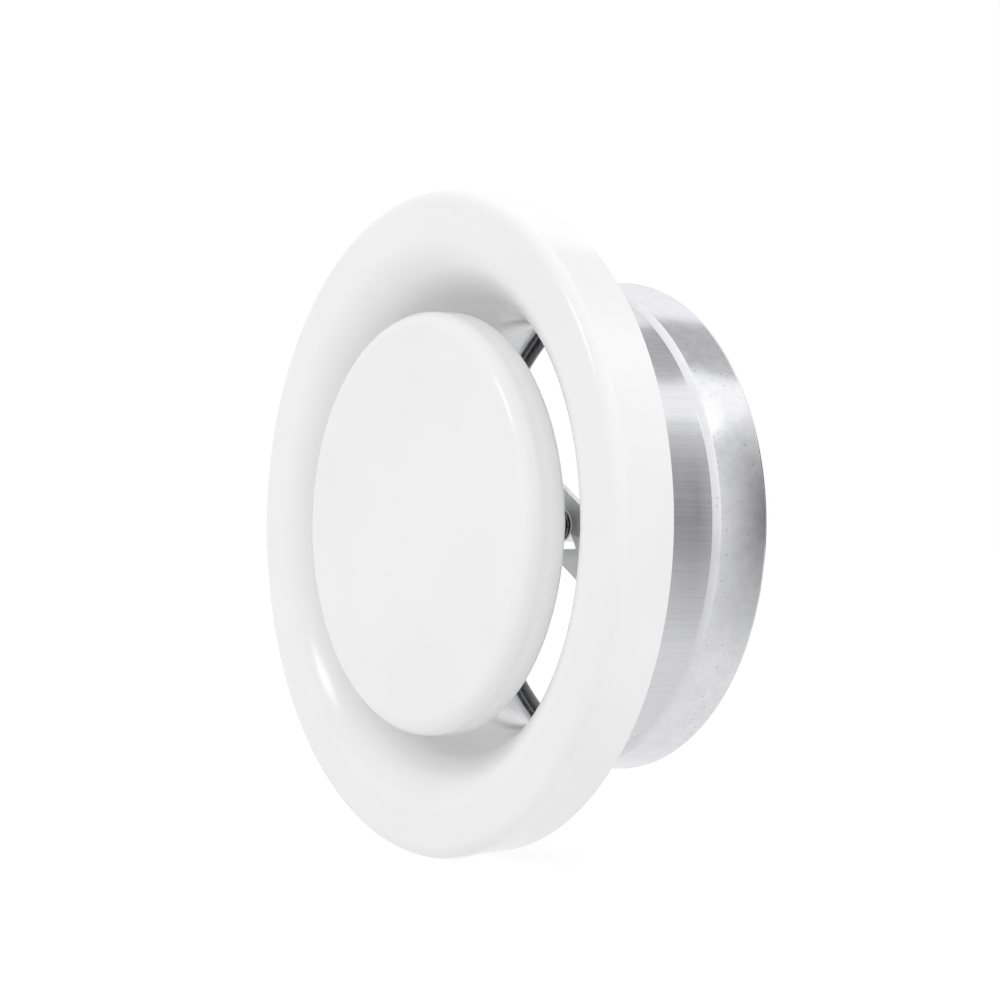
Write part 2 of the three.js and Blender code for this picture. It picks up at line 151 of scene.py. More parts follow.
BRIDGE_SHEET = 1.5 * MM
BRIDGE_WIDTH = 20.0 * MM
BRIDGE_ANGLE = math.radians(-30)
BRIDGE_BEND = 3.0 * MM
BRIDGE_EDGE = 0.15 * MM  # bevel round the window
BUSH_RADIUS = high("thread_bush").x
WINDOW_RADIUS = BUSH_RADIUS + GAP
WINDOW_CORNERS = [  # the pointed lower end of the window in the strap, as (x, z)
    (-4.6 * MM, -2.4 * MM),
    (4.6 * MM, -2.4 * MM),
    (7.6 * MM, -7.0 * MM),
    (-4.0 * MM, -7.4 * MM),
]
WINDOW_ROUND = 0.4 * MM
FOOT_START = 5.0 * MM
FOOT_END = 19.7 * MM

CLIP_SHEET = 0.8 * MM
CLIP_WIDTH = 12.0 * MM
CLIP_BEND = 18.0 * MM
CLIP_HOOK = 1.2 * MM
CLIP_TIP = 4.0 * MM
CLIP_ROUND = 1.2 * MM

RIVET_RADIUS = 1.6 * MM
RIVET_HEAD_RADIUS = 3.0 * MM
RIVET_HEAD = 1.0 * MM

# ------------------------------------------------------------------ outlines


def arc(cx, cy, radius, start, end, steps):
    """Points of an arc round (cx, cy), from start to end in degrees."""
    angles = [math.radians(start + (end - start) * i / steps) for i in range(steps + 1)]
    return [(cx + radius * math.cos(a), cy + radius * math.sin(a)) for a in angles]


def bezier(p0, p1, p2, p3, steps):
    """Points of a cubic curve, with both ends."""
    points = []
    for i in range(steps + 1):
        t = i / steps
        weights = ((1 - t) ** 3, 3 * (1 - t) ** 2 * t, 3 * (1 - t) * t**2, t**3)
        points.append(tuple(sum(w * p[k] for w, p in zip(weights, (p0, p1, p2, p3))) for k in (0, 1)))
    return points


def rounded(path, radius, steps=5, closed=False):
    """The path with its corners rounded off."""
    count = len(path)
    out = []
    for i, point in enumerate(path):
        if not closed and i in (0, count - 1):
            out.append(point)
            continue
        corner = Vector(point)
        back = Vector(path[i - 1]) - corner
        on = Vector(path[(i + 1) % count]) - corner
        half = back.angle(on) / 2
        reach = min(radius / math.tan(half), back.length * 0.45, on.length * 0.45)
        start = corner + back.normalized() * reach
        end = corner + on.normalized() * reach
        for k in range(steps + 1):
            t = k / steps
            spot = start * (1 - t) ** 2 + corner * 2 * t * (1 - t) + end * t**2
            out.append(tuple(spot))
    return out


def offset(path, distance):
    """The path moved sideways, to the right of its direction."""
    out = []
    for i, point in enumerate(path):
        a = Vector(point) - Vector(path[max(i - 1, 0)])
        b = Vector(path[min(i + 1, len(path) - 1)]) - Vector(point)
        a = a.normalized() if a.length else b.normalized()
        b = b.normalized() if b.length else a
        along = (a + b).normalized()
        mitre = distance / max(along.dot(a), 0.3)
        out.append((point[0] + along.y * mitre, point[1] - along.x * mitre))
    return out


def sheet_outline(path, thickness, edge_steps=4):
    """Closed outline of a sheet with path as its left side and half-round edges."""
    right = offset(path, thickness)

    def edge(from_point, to_point, outward):
        centre = (Vector(from_point) + Vector(to_point)) / 2
        side = Vector(from_point) - centre
        return [
            tuple(centre + side * math.cos(a) + outward * side.length * 0.5 * math.sin(a))
            for a in (math.pi * k / edge_steps for k in range(1, edge_steps))
        ]

    end_way = (Vector(path[-1]) - Vector(path[-2])).normalized()
    start_way = (Vector(path[0]) - Vector(path[1])).normalized()
    trim_end = Vector(path[-1]) - end_way * abs(thickness) * 0.25
    trim_start = Vector(path[0]) - start_way * abs(thickness) * 0.25
    left = [tuple(trim_start), *path[1:-1], tuple(trim_end)]
    right_end = tuple(Vector(right[-1]) - end_way * abs(thickness) * 0.25)
    right_start = tuple(Vector(right[0]) - start_way * abs(thickness) * 0.25)
    right = [right_start, *right[1:-1], right_end]
    return [
        *left,
        *edge(left[-1], right[-1], end_way),
        *reversed(right),
        *edge(right[0], left[0], start_way),
    ]


# ------------------------------------------------------------------ meshes


def add_object(name, data):
    """An object in the scene at the origin."""
    made = bpy.data.objects.new(name, data)
    bpy.context.scene.collection.objects.link(made)
    return made


def mesh_object(name, verts, faces, sharp=35):
    """A smooth-shaded mesh object with tidy outward faces."""
    mesh = bpy.data.meshes.new(name)
    mesh.from_pydata([tuple(v) for v in verts], [], faces)
    bm = bmesh.new()
    bm.from_mesh(mesh)
    bmesh.ops.remove_doubles(bm, verts=bm.verts, dist=1e-7)
    bmesh.ops.dissolve_degenerate(bm, edges=bm.edges, dist=1e-8)
    bmesh.ops.recalc_face_normals(bm, faces=bm.faces)
    bm.to_mesh(mesh)
    bm.free()
    mesh.shade_smooth()
    mesh.set_sharp_from_angle(angle=math.radians(sharp))
    return add_object(name, mesh)


def turned_faces(segments, count):
    """Faces between closed outlines of count points that stand round an axis."""
    faces = []
    for s in range(segments):
        this, following = s * count, (s + 1) % segments * count
        for i in range(count):
            j = (i + 1) % count
            faces.append((this + i, this + j, following + j, following + i))
    return faces


def lathe(name, outline, segments=FINE, bend=None, sharp=35):
    """Turns a closed outline of (radius, y) points about Y. bend(r, y, angle) moves each point."""
    verts = []
    for s in range(segments):
        angle = 2 * math.pi * s / segments
        for r, y in outline:
            if bend:
                r, y = bend(r, y, angle)
            verts.append((r * math.cos(angle), y, r * math.sin(angle)))
    return mesh_object(name, verts, turned_faces(segments, len(outline)), sharp)


def strip(name, path, thickness, width, corner=0.2 * MM, sharp=35):
    """A strip bent along a path of (x, y) points, centred on z = 0, with rounded edges."""
    section = []
    half_w, half_t = width / 2 - corner, thickness / 2 - corner
    for quarter, (side, face) in enumerate(((1, 1), (-1, 1), (-1, -1), (1, -1))):
        start = 90 * quarter
        section += arc(side * half_w, face * half_t, corner, start, start + 90, 3)
    centre = offset(path, thickness / 2)
    outer = offset(path, thickness)
    verts = []
    for (cx, cy), (ox, oy) in zip(centre, outer):
        out = Vector((ox - cx, oy - cy)) / (thickness / 2)
        verts += [(cx + out.x * t, cy + out.y * t, w) for w, t in section]
    n = len(section)
    faces = [tuple(range(n)), tuple(range(len(verts) - n, len(verts)))]
    for row in range(len(path) - 1):
        for i in range(n):
            j = (i + 1) % n
            a, b = row * n, (row + 1) * n
            faces.append((a + i, a + j, b + j, b + i))
    return mesh_object(name, verts, faces, sharp)


def thread_drop(y, angle):
    """How far a right-hand thread's surface lies below its crest."""
    share = (y / THREAD_PITCH - angle / (2 * math.pi)) % 1.0
    from_crest = abs(share - 0.5)
    flank = (from_crest - CREST_HALF) / (ROOT_START - CREST_HALF)
    return THREAD_DEPTH * min(max(flank, 0.0), 1.0)


def threaded_rod(name, radius, start, end, segments=40, rows_per_pitch=10):
    """A rod along Y with a real thread and chamfered ends."""
    rows = round((end - start) / THREAD_PITCH * rows_per_pitch)
    verts, faces = [], []
    for row in range(rows + 1):
        y = start + (end - start) * row / rows
        limit = radius - max(0.0, THREAD_CHAMFER - min(y - start, end - y))
        for s in range(segments):
            angle = 2 * math.pi * s / segments
            r = min(radius - thread_drop(y, angle), limit)
            verts.append((r * math.sin(angle), y, r * math.cos(angle)))
    for row in range(rows):
        for s in range(segments):
            a, b = row * segments + s, row * segments + (s + 1) % segments
            faces.append((a, b, b + segments, a + segments))
    faces.append(tuple(range(segments)))
    faces.append(tuple(range(rows * segments, (rows + 1) * segments)))
    return mesh_object(name, verts, faces, sharp=50)


def hex_nut(name, start, end):
    """A hexagon nut on the axis with chamfered corners."""
    flat = NUT_WIDTH / 2
    chamfer_from = flat * 0.96
    lip = NUT_LIP
    segments = 96
    verts = []
    for s in range(segments):
        angle = 2 * math.pi * s / segments
        corner = (angle + math.pi / 6) % (math.pi / 3) - math.pi / 6
        radius = flat / math.cos(corner)
        cut = (radius - chamfer_from) * math.tan(math.radians(30))
        profile = [
            (THREAD_BORE, start + lip),
            (THREAD_BORE + lip, start),
            (chamfer_from, start),
            (radius - lip * 0.3, start + cut * 0.85),
            (radius, start + cut + lip * 0.3),
            (radius, end - cut - lip * 0.3),
            (radius - lip * 0.3, end - cut * 0.85),
            (chamfer_from, end),
            (THREAD_BORE + lip, end),
            (THREAD_BORE, end - lip),
        ]
        verts += [(r * math.cos(angle), y, r * math.sin(angle)) for r, y in profile]
    return mesh_object(name, verts, turned_faces(segments, len(profile)), sharp=28)


def subtract(obj, cutters, bevel):
    """Cuts closed meshes out of obj and bevels the new edges."""
    for cutter in cutters:
        modifier = obj.modifiers.new("cut", "BOOLEAN")
        modifier.operation = "DIFFERENCE"
        modifier.solver = "EXACT"
        modifier.object = cutter
    edges = obj.modifiers.new("bevel", "BEVEL")
    edges.width = bevel
    edges.segments = 2
    edges.limit_method = "ANGLE"
    edges.angle_limit = math.radians(55)
    depsgraph = bpy.context.evaluated_depsgraph_get()
    cut_mesh = bpy.data.meshes.new_from_object(obj.evaluated_get(depsgraph))
    obj.modifiers.clear()
    obj.data = cut_mesh
    cut_mesh.shade_smooth()
    cut_mesh.set_sharp_from_angle(angle=math.radians(35))
    for cutter in cutters:
        bpy.data.objects.remove(cutter)


def place(obj, matrix):
    """Moves obj's mesh itself, so that its object stays at the origin."""
    obj.data.transform(matrix)
    obj.data.update()


def about_axis(angle):
    """Turns what was made on the +X side to an angle about the duct axis, +Z being 90 degrees."""
    return Matrix.Rotation(-angle, 4, "Y")


def finish_piece(obj, material, body, slot, *nodes):
    """Gives a piece its material and its body, in place of the CAD nodes; slot is not used."""
    obj.data.materials.clear()
    obj.data.materials.append(material)
    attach(obj, body)
    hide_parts(*nodes)


# ------------------------------------------------------------------ materials


class Surface:
    """A Principled material with short calls for its procedural nodes."""

    def __init__(self, name, **sockets):
        self.material = bpy.data.materials.new(name)
        self.material.use_nodes = True
        self.nodes = self.material.node_tree.nodes
        self.links = self.material.node_tree.links
        self.shader = self.nodes["Principled BSDF"]
        for socket, value in sockets.items():
            self.shader.inputs[socket.replace("_", " ")].default_value = value
        self.place = self.nodes.new("ShaderNodeTexCoord").outputs["Object"]

    def plug(self, socket, value):
        """Links another node's output to the socket, or sets the socket to a plain value."""
        if hasattr(value, "is_linked"):
            self.links.new(value, socket)
        else:
            socket.default_value = value

    def set(self, socket, value):
        self.plug(self.shader.inputs[socket], value)

    def node(self, kind, inputs, output, **settings):
        made = self.nodes.new(kind)
        for key, value in settings.items():
            setattr(made, key, value)
        for key, value in inputs.items():
            self.plug(made.inputs[key], value)
        return made.outputs[output]

    def stretch(self, x, y, z):
        return self.node("ShaderNodeVectorMath", {0: self.place, 1: (x, y, z)}, 0, operation="MULTIPLY")

    def noise(self, scale, detail=2.0, roughness=0.5, vector=None):
        inputs = {"Vector": vector or self.place, "Scale": scale, "Detail": detail, "Roughness": roughness}
        return self.node("ShaderNodeTexNoise", inputs, "Fac")

    def cells(self, scale):
        inputs = {"Vector": self.place, "Scale": scale}
        return self.node("ShaderNodeTexVoronoi", inputs, "Distance")

    def remap(self, value, from_low, from_high, to_low, to_high):
        inputs = {0: value, 1: from_low, 2: from_high, 3: to_low, 4: to_high}
        return self.node("ShaderNodeMapRange", inputs, 0)

    def ramp(self, value, zero_at, one_at):
        return self.remap(value, zero_at, one_at, 0.0, 1.0)

    def maths(self, operation, a, b=0.0):
        return self.node("ShaderNodeMath", {0: a, 1: b}, 0, operation=operation)

    def mix(self, factor, first, second):
        inputs = {0: factor, 6: first, 7: second}
        return self.node("ShaderNodeMix", inputs, 2, data_type="RGBA")

    def bump(self, height, strength, distance, before=None):
        inputs = {"Height": height, "Strength": strength, "Distance": distance}
        if before:
            inputs["Normal"] = before
        return self.node("ShaderNodeBump", inputs, "Normal")

    def along(self, axis):
        return self.node("ShaderNodeSeparateXYZ", {0: self.place}, axis)

    def depth(self):
        """Place along the duct axis."""
        return self.along("Y")

    def length(self, vector):
        return self.node("ShaderNodeVectorMath", {0: vector}, "Value", operation="LENGTH")

    def radius(self):
        """Distance from the duct axis."""
        return self.length(self.stretch(1.0, 0.0, 1.0))

    def both(self, *masks):
        """Where all the masks hold."""
        out = masks[0]
        for mask in masks[1:]:
            out = self.maths("MULTIPLY", out, mask)
        return out


def grey(level, blue=0.0):
    return (level, level, level + blue, 1.0)


def white_powder_coat():
    """Gloss white, painted lighter inside the throat and round the disc's wall: painted light against the
    shade there.
    """
    s = Surface("white_powder_coat", IOR=1.5)
    cloud = s.noise(22, detail=3)
    colour = s.mix(s.ramp(cloud, 0.3, 0.7), grey(0.705), grey(0.73))
    dust = s.remap(s.cells(240), 0.02, 0.035, 1.0, 0.0)
    sparse = s.remap(s.noise(90), 0.64, 0.68, 0.0, 0.2)
    deep = s.ramp(s.depth(), *THROAT_DEPTHS)
    within_mouth = s.ramp(s.radius(), *THROAT_RADII)
    behind_face = s.ramp(s.depth(), *WALL_DEPTHS)
    on_wall = s.ramp(s.radius(), DISC_RADIUS + MM, DISC_RADIUS)
    # painted light: the throat and the disc's wall behind its face are painted a lighter white than the
    # rest, against the shade that falls there
    painted_light = s.maths("MAXIMUM", s.both(deep, within_mouth), s.both(behind_face, on_wall))
    colour = s.mix(painted_light, colour, grey(0.87))
    s.set("Base Color", s.mix(s.both(dust, sparse), colour, grey(0.4)))
    s.set("Roughness", s.remap(s.noise(60, detail=4), 0.3, 0.7, 0.14, 0.22))
    peel = s.bump(s.noise(650, detail=1.5), 0.08, 0.1 * MM)
    s.set("Normal", s.bump(s.noise(45, detail=1), 0.06, 0.6 * MM, peel))
    return s.material


def collar_aluminium():
    """Brushed along the axis in front of the step, lighter and mottled behind it.

    The inside is hazy behind the step, with a painted dark reflection: a dark strip along the rolled-in
    rear edge.
    """
    s = Surface("collar_aluminium", Metallic=1.0)
    behind_step = s.ramp(s.depth(), STEP_START, STEP_END)
    lines = s.noise(1.0, detail=6, roughness=0.7, vector=s.stretch(5200, 20, 5200))
    mottle = s.noise(260, detail=6, roughness=0.75)
    streaks = s.ramp(lines, 0.35, 0.65)
    blotches = s.ramp(mottle, 0.35, 0.65)
    brushed = s.mix(streaks, grey(0.575, 0.03), grey(0.655, 0.03))
    mottled = s.mix(blotches, grey(0.65, 0.025), grey(0.72, 0.025))
    colour = s.mix(behind_step, brushed, mottled)

    middle_at_step = COLLAR_REAR_RADIUS - 0.6 * COLLAR_SHEET
    middle_at_end = COLLAR_END_RADIUS - 0.6 * COLLAR_SHEET
    sheet_middle = s.remap(s.depth(), STEP_END, COLLAR_END, middle_at_step, middle_at_end)
    inner_wall = s.maths("LESS_THAN", s.radius(), sheet_middle)
    before_end = s.maths("LESS_THAN", s.depth(), COLLAR_END - 0.5 * COLLAR_SHEET)
    well_behind = s.ramp(s.depth(), STEP_END + 0.2 * MM, STEP_END + 0.6 * MM)
    hazed = s.both(inner_wall, before_end, well_behind)
    # painted dark reflection: a dark strip painted inside, just before the rolled-in rear edge, which
    # stays fully metallic
    near_lip = s.ramp(s.depth(), COLLAR_END - DARK_REFLECTION_FADE[0], COLLAR_END - DARK_REFLECTION_FADE[1])
    painted_dark_reflection = s.both(inner_wall, before_end, near_lip)
    colour = s.mix(hazed, colour, s.mix(blotches, grey(0.7, 0.02), grey(0.8, 0.02)))
    colour = s.mix(painted_dark_reflection, colour, s.mix(blotches, grey(0.2, 0.01), grey(0.28, 0.01)))
    s.set("Metallic", s.remap(s.maths("SUBTRACT", hazed, painted_dark_reflection), 0.0, 1.0, 1.0, 0.35))

    spots = s.remap(s.cells(420), 0.1, 0.2, 1.0, 0.0)
    where = s.remap(s.noise(110), 0.5, 0.56, 0.0, 0.55)
    pits = s.both(spots, where, s.remap(behind_step, 0.0, 1.0, 0.35, 1.0))
    s.set("Base Color", s.mix(pits, colour, grey(0.4)))
    s.set("Roughness", s.remap(s.maths("ADD", lines, mottle), 0.7, 1.3, 0.15, 0.24))
    scored = s.bump(lines, 0.12, 0.02 * MM)
    dents = s.bump(s.noise(40, detail=2), 0.08, 0.5 * MM, scored)
    s.set("Normal", s.bump(pits, -0.3, 0.1 * MM, dents))
    return s.material


def zinc_plated_steel():
    """Dull and slightly cloudy, between warm and cool."""
    s = Surface("zinc_plated_steel", Metallic=0.75)
    patches = s.noise(180, detail=4, roughness=0.6)
    tint = s.mix(s.noise(60, detail=2), (0.88, 0.87, 0.84, 1.0), (0.86, 0.88, 0.91, 1.0))
    s.set("Base Color", s.mix(s.remap(patches, 0.35, 0.65, 0.0, 0.4), tint, grey(0.74)))
    s.set("Roughness", s.remap(patches, 0.3, 0.7, 0.42, 0.6))
    fine = s.bump(s.noise(2400, detail=2), 0.15, 0.02 * MM)
    s.set("Normal", s.bump(s.noise(300, detail=2), 0.1, 0.1 * MM, fine))
    return s.material


def spring_steel():
    """Darker, with a grain along the axis."""
    s = Surface("spring_steel", Metallic=1.0)
    grain = s.noise(1.0, detail=5, vector=s.stretch(3000, 120, 3000))
    tint = s.mix(s.noise(90, detail=2), (0.52, 0.51, 0.5, 1.0), (0.46, 0.48, 0.53, 1.0))
    s.set("Base Color", s.mix(s.remap(grain, 0.3, 0.7, 0.0, 0.4), tint, grey(0.55)))
    s.set("Roughness", s.remap(grain, 0.3, 0.7, 0.25, 0.42))
    s.set("Normal", s.bump(grain, 0.2, 0.03 * MM))
    return s.material


def threaded_steel():
    """Oiled steel, dark at the root of the thread."""
    s = Surface("threaded_steel", Metallic=1.0)
    on_crest = s.ramp(s.radius(), SPINDLE_RADIUS - 0.75 * MM, SPINDLE_RADIUS - 0.1 * MM)
    oil = s.noise(260, detail=4)
    steel = s.mix(s.ramp(oil, 0.35, 0.65), grey(0.34), grey(0.46, 0.01))
    s.set("Base Color", s.mix(on_crest, (0.1, 0.09, 0.08, 1.0), steel))
    s.set("Roughness", s.remap(oil, 0.3, 0.7, 0.2, 0.38))
    s.set("Normal", s.bump(s.noise(1500, detail=2), 0.12, 0.03 * MM))
    return s.material


def foam():
    """Black closed-cell foam."""
    s = Surface("foam", IOR=1.4)
    pores = s.cells(900)
    blotch = s.noise(120, detail=4)
    s.set("Base Color", s.mix(s.ramp(blotch, 0.3, 0.7), grey(0.03), grey(0.06)))
    s.set("Roughness", s.remap(pores, 0.0, 0.6, 0.95, 0.75))
    s.set("Normal", s.bump(pores, 0.6, 0.4 * MM))
    return s.material


white = white_powder_coat()
aluminium = collar_aluminium()
zinc = zinc_plated_steel()
spring = spring_steel()
thread = threaded_steel()
black_foam = foam()

# ------------------------------------------------------------------ face ring, throat and foam

neck_curve = bezier(
    (ANNULUS_INNER, RING_FRONT), (MOUTH_PULL, RING_FRONT), NECK_PULL, (NECK_RADIUS, NECK_END), 48
)
ring_path = [
    (RIM_RADIUS, 0.0),
    (RIM_RADIUS, -RIM_STRAIGHT),
    *arc(RING_RADIUS - RING_CORNER, RING_FRONT + RING_CORNER, RING_CORNER, 0, -90, 12),
    *neck_curve,
]
neck_back = offset(neck_curve, RING_SHEET)


def neck_radius(y):
    """Radius of the neck's outer surface at height y."""
    for (r0, y0), (r1, y1) in zip(neck_back, neck_back[1:]):
        if y0 <= y <= y1:
            return r0 + (r1 - r0) * (y - y0) / (y1 - y0)
    return neck_back[-1][0]


foot_slope = (neck_radius(FOOT_START) - neck_radius(FOOT_END)) / (FOOT_END - FOOT_START)
foot_lean = math.atan(foot_slope)


def foot_radius(y):
    """Radius of the inner face of what is riveted to the neck, at height y."""
    return neck_radius(FOOT_START) + GAP / math.cos(foot_lean) - (y - FOOT_START) * foot_slope


def face_ring():
    """One pressed sheet, which CAD draws as three nodes."""
    ring = lathe("face_ring_and_throat_sheet", sheet_outline(ring_path, RING_SHEET))
    nodes = ("ring_skirt", "face_ring", "throat")
    finish_piece(ring, white, "valve_body", "white_powder_coat", *nodes)


def crumple(amount, grain):
    """Moves an outline's points a little in and out, as foam or thin sheet does."""

    def bend(r, y, angle):
        spot = Vector((r * math.cos(angle), y, r * math.sin(angle))) / grain
        return r + amount * noise.noise(spot), y + amount * noise.noise(spot + Vector((7, 3, 5)))

    return bend


def rim_gasket():
    outer = RIM_RADIUS - RING_SHEET - GAP
    front, rear = low("rim_gasket").y, high("rim_gasket").y
    corners = [(GASKET_INNER, rear), (outer, rear), (outer, front), (GASKET_INNER, front)]
    outline = rounded(corners, GASKET_ROUND, closed=True)
    ring = lathe("rim_gasket_foam", outline, bend=crumple(-0.12 * MM, FOAM_GRAIN))
    finish_piece(ring, black_foam, "valve_body", "foam", "rim_gasket")


def collar_seal():
    inner = COLLAR_FRONT_RADIUS + GAP
    outer = high("collar_seal").x
    front, rear = low("collar_seal").y, high("collar_seal").y
    corners = [(inner, rear), (outer, rear), (outer, front), (inner, front + SEAL_SLANT)]
    outline = rounded(corners, SEAL_ROUND, closed=True)
    ring = lathe("collar_seal_foam", outline, bend=crumple(-0.1 * MM, FOAM_GRAIN))
    finish_piece(ring, black_foam, "valve_body", "foam", "collar_seal")


# ------------------------------------------------------------------ collar


def collar_wave(r, y, angle):
    """Slight waviness of the rolled sheet; it only ever moves the sheet inwards, never past its outer
    radius.
    """
    across = (math.cos(angle) * COLLAR_WAVES, math.sin(angle) * COLLAR_WAVES)
    spot = Vector((across[0], y / COLLAR_WAVE_LENGTH, across[1]))
    return r - COLLAR_WAVE * (0.5 + 0.5 * noise.noise(spot)), y


def duct_collar():
    corner = (COLLAR_END_RADIUS - COLLAR_CORNER, COLLAR_END - COLLAR_CORNER)
    wall = rounded(
        [
            (COLLAR_FRONT_RADIUS, COLLAR_START),
            (COLLAR_FRONT_RADIUS, STEP_START),
            (COLLAR_REAR_RADIUS, STEP_END),
            (COLLAR_END_RADIUS, corner[1]),
        ],
        STEP_ROUND,
    )
    rows = [(wall[0][0], wall[0][1] + (wall[1][1] - wall[0][1]) * i / 8) for i in range(8)]
    outside = [
        *rows,
        *wall[1:-1],
        *arc(*corner, COLLAR_CORNER, 0, 90, 10),
        (COLLAR_MOUTH_RADIUS, COLLAR_END),
    ]
    collar = lathe("duct_collar_sheet", sheet_outline(outside, -COLLAR_SHEET), bend=collar_wave)
    finish_piece(collar, aluminium, "valve_body", "collar_aluminium", "duct_collar")


# ------------------------------------------------------------------ disc


def disc_shell():
    centre_y = DISC_FRONT + DISC_ROUND
    flat = DISC_RADIUS - DISC_ROUND
    hem = DISC_BACK - DISC_HEM_ROUND
    outside = [
        (0.0, DISC_FRONT),
        (flat * 0.5, DISC_FRONT),
        *arc(flat, centre_y, DISC_ROUND, -90, 0, 20),
        *arc(DISC_RADIUS - DISC_HEM_ROUND, hem, DISC_HEM_ROUND, 0, 90, 10),
    ]
    inside = [
        (DISC_RADIUS - DISC_HEM, DISC_BACK),
        (DISC_RADIUS - DISC_HEM, DISC_BACK - DISC_SHEET),
        *arc(DISC_RADIUS - DISC_HEM_ROUND, hem, DISC_HEM_ROUND - DISC_SHEET, 90, 0, 4),
        *arc(flat, centre_y, DISC_ROUND - DISC_SHEET, 0, -90, 10),
        (0.0, DISC_FRONT + DISC_SHEET),
    ]
    shell = lathe("disc_shell_sheet", [*outside, *inside])
    finish_piece(shell, white, "disc", "white_powder_coat", "disc_shell")


def disc_backplate():
    rear = DISC_BACK - DISC_SHEET - GAP
    outer = high("disc_backplate").x
    foot, top = BEAD_WIDTH / 2, BEAD_WIDTH / 4
    path = rounded(
        [
            (THREAD_BORE, rear),
            (BEAD_RADIUS - foot, rear),
            (BEAD_RADIUS - top, rear + BEAD_HEIGHT),
            (BEAD_RADIUS + top, rear + BEAD_HEIGHT),
            (BEAD_RADIUS + foot, rear),
            (outer, rear),
        ],
        BEAD_ROUND,
        steps=8,
    )
    plate = lathe("disc_backplate_sheet", sheet_outline(path, BACKPLATE_SHEET))
    finish_piece(plate, white, "disc", "white_powder_coat", "disc_backplate")


# ------------------------------------------------------------------ spindle and fasteners


def spindle():
    """The threaded rod."""
    rod = threaded_rod("threaded_spindle", SPINDLE_RADIUS, low("spindle").y, high("spindle").y)
    finish_piece(rod, thread, "disc", "threaded_steel", "spindle")


def nut(node, body):
    made = hex_nut(node + "_hexagon", low(node).y, high(node).y)
    finish_piece(made, zinc, body, "zinc_plated_steel", node)


def washer(node, body):
    outer = high(node).x
    front, rear = low(node).y, high(node).y
    corners = [(THREAD_BORE, front), (outer, front), (outer, rear), (THREAD_BORE, rear)]
    ring = lathe(node + "_ring", rounded(corners, WASHER_ROUND, closed=True), MEDIUM)
    finish_piece(ring, zinc, body, "zinc_plated_steel", node)


def thread_bush():
    front, rear = low("thread_bush").y, high("thread_bush").y
    chamfer = BUSH_CHAMFER
    outline = [
        (THREAD_BORE, front + chamfer),
        (THREAD_BORE + chamfer * 0.4, front),
        (BUSH_RADIUS - chamfer * 0.4, front),
        (BUSH_RADIUS, front + chamfer * 0.4),
        (BUSH_RADIUS, rear - chamfer * 0.6),
        (BUSH_RADIUS - chamfer * 0.6, rear),
        (THREAD_BORE + chamfer * 0.4, rear),
        (THREAD_BORE, rear - chamfer),
    ]
    bush = lathe("thread_bush_turned", outline, MEDIUM, sharp=30)
    finish_piece(bush, zinc, "valve_body", "zinc_plated_steel", "thread_bush")


def stop_pin():
    """A rolled spring pin: a C-shaped tube with chamfered ends."""
    radius = (high("stop_pin").x - low("stop_pin").x) / 2
    half = (high("stop_pin").z - low("stop_pin").z) / 2
    slot = 28  # half its width, in degrees
    body = half - PIN_CHAMFER
    end_share = 0.75
    stations = [(-half, end_share), (-body, 1.0), (body, 1.0), (half, end_share)]
    verts, faces = [], []
    for z, share in stations:
        outer = arc(0, 0, radius * share, slot, 360 - slot, 20)
        inner = arc(0, 0, radius * share - PIN_WALL, 360 - slot, slot, 20)
        verts += [(x, y, z) for x, y in [*outer, *inner]]
    n = len(verts) // len(stations)
    for row in range(len(stations) - 1):
        for i in range(n):
            j = (i + 1) % n
            faces.append((row * n + i, row * n + j, (row + 1) * n + j, (row + 1) * n + i))
    faces += [tuple(range(n)), tuple(range(len(verts) - n, len(verts)))]
    pin = mesh_object("stop_pin_rolled", verts, faces)
    place(pin, Matrix.Translation(middle("stop_pin")))
    finish_piece(pin, spring, "disc", "spring_steel", "stop_pin")


# ------------------------------------------------------------------ bridge, clips and rivets


def prism(name, outline, depth):
    """A closed prism over (x, z) points, centred on y = 0."""
    n = len(outline)
    verts = [(x, y, z) for y in (-depth / 2, depth / 2) for x, z in outline]
    faces = [tuple(range(n)), tuple(range(n, 2 * n))]
    faces += [(i, (i + 1) % n, n + (i + 1) % n, n + i) for i in range(n)]
    return mesh_object(name, verts, faces)


def bridge_strap():
    front = high("bridge_strap").y - BRIDGE_SHEET
    corner = (foot_radius(front), front)
    half = rounded([(0.0, front), corner, (foot_radius(FOOT_START), FOOT_START)], BRIDGE_BEND, steps=10)
    path = [(-r, y) for r, y in reversed(half[1:])] + half[1:]
    strap = strip("bridge_strap_bent", path, -BRIDGE_SHEET, BRIDGE_WIDTH)
    circle = arc(0, 0, WINDOW_RADIUS, 0, 360 - 360 / MEDIUM, MEDIUM - 1)
    pointed = rounded(WINDOW_CORNERS, WINDOW_ROUND, closed=True)
    cutters = [
        prism("window_round", circle, 6 * BRIDGE_SHEET),
        prism("window_pointed", pointed, 6 * BRIDGE_SHEET),
    ]
    place(cutters[1], about_axis(-BRIDGE_ANGLE))  # it stays upright when the strap is turned
    for cutter in cutters:
        place(cutter, Matrix.Translation((0, front, 0)))
    subtract(strap, cutters, BRIDGE_EDGE)
    place(strap, about_axis(BRIDGE_ANGLE))
    finish_piece(strap, zinc, "valve_body", "zinc_plated_steel", "bridge_strap")


def inside_collar(node):
    """How far out the clip reaches, from the clip that lies straight along -X."""
    return -low(node).x


